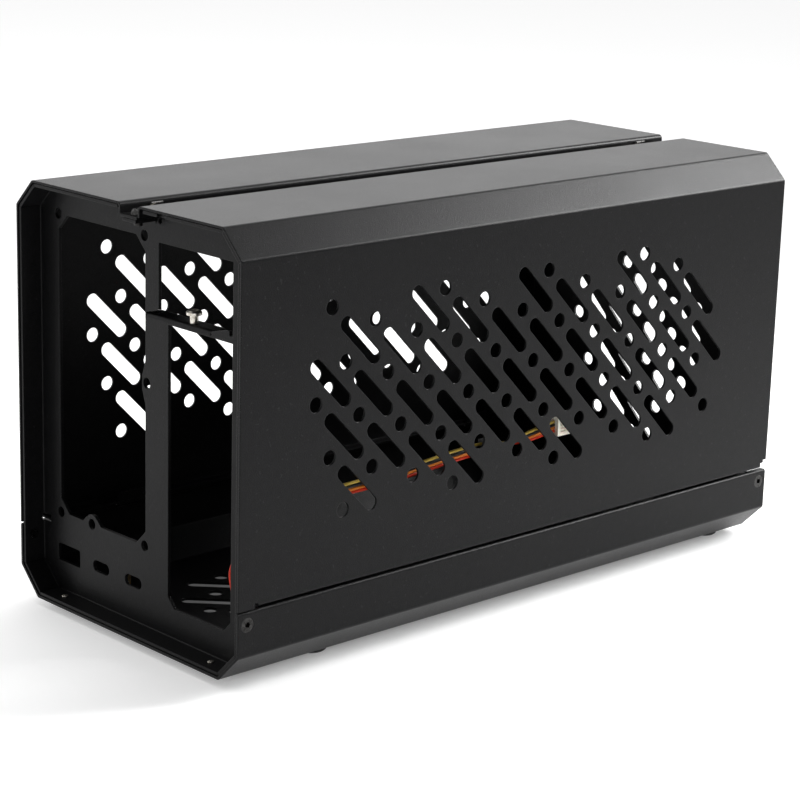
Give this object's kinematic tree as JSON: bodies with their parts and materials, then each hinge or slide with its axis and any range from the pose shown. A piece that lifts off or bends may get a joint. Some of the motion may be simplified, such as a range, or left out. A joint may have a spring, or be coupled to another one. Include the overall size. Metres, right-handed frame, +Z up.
{
  "type": "external graphics card frame",
  "caption": "Open-ended folded sheet metal frame with slanted long edges and diagonal vents, for a graphics card, its power supply and a dock board.",
  "frame": {"origin": "middle of the box that holds the whole frame, at the height of the surface its feet stand on", "axes": "+X along the length from the end with the ports and the card opening to the vented end, +Y across from the side nearest the card opening to the side nearest the power supply opening, +Z up"},
  "size_m": [0.2816, 0.129, 0.161],
  "materials": {
    "powder_coat": "fine matt black powder coat",
    "zinc": "zinc plated",
    "black_screw": "black oxide",
    "brass": "plain",
    "foot_rubber": "matt",
    "white_nylon": "natural",
    "black_nylon": "natural",
    "yellow_insulation": "satin",
    "black_insulation": "satin",
    "orange_insulation": "satin",
    "red_insulation": "satin"
  },
  "bodies": {
    "root": {"bottom_tray": "powder_coat", "near_cover": "powder_coat", "far_cover": "powder_coat", "rear_panel": "powder_coat", "front_panel": "powder_coat", "top_rail": "powder_coat", "rear_seam_clip": "zinc", "front_seam_clip": "zinc", "clip_rivets": "zinc", "rail_screws": "black_screw", "side_screws": "black_screw", "floor_rivets": "zinc", "card_screw": "zinc", "rear_near_foot": "foot_rubber", "rear_far_foot": "foot_rubber", "front_near_foot": "foot_rubber", "front_far_foot": "foot_rubber", "foot_screws": "zinc", "foot_nuts": "zinc", "board_standoffs": "brass", "yellow_wire": "yellow_insulation", "black_wire": "black_insulation", "orange_wire": "orange_insulation", "red_wire": "red_insulation", "lead_plug": "white_nylon", "board_plug": "white_nylon", "lead_clips": "black_nylon"}
  },
  "joints": []
}
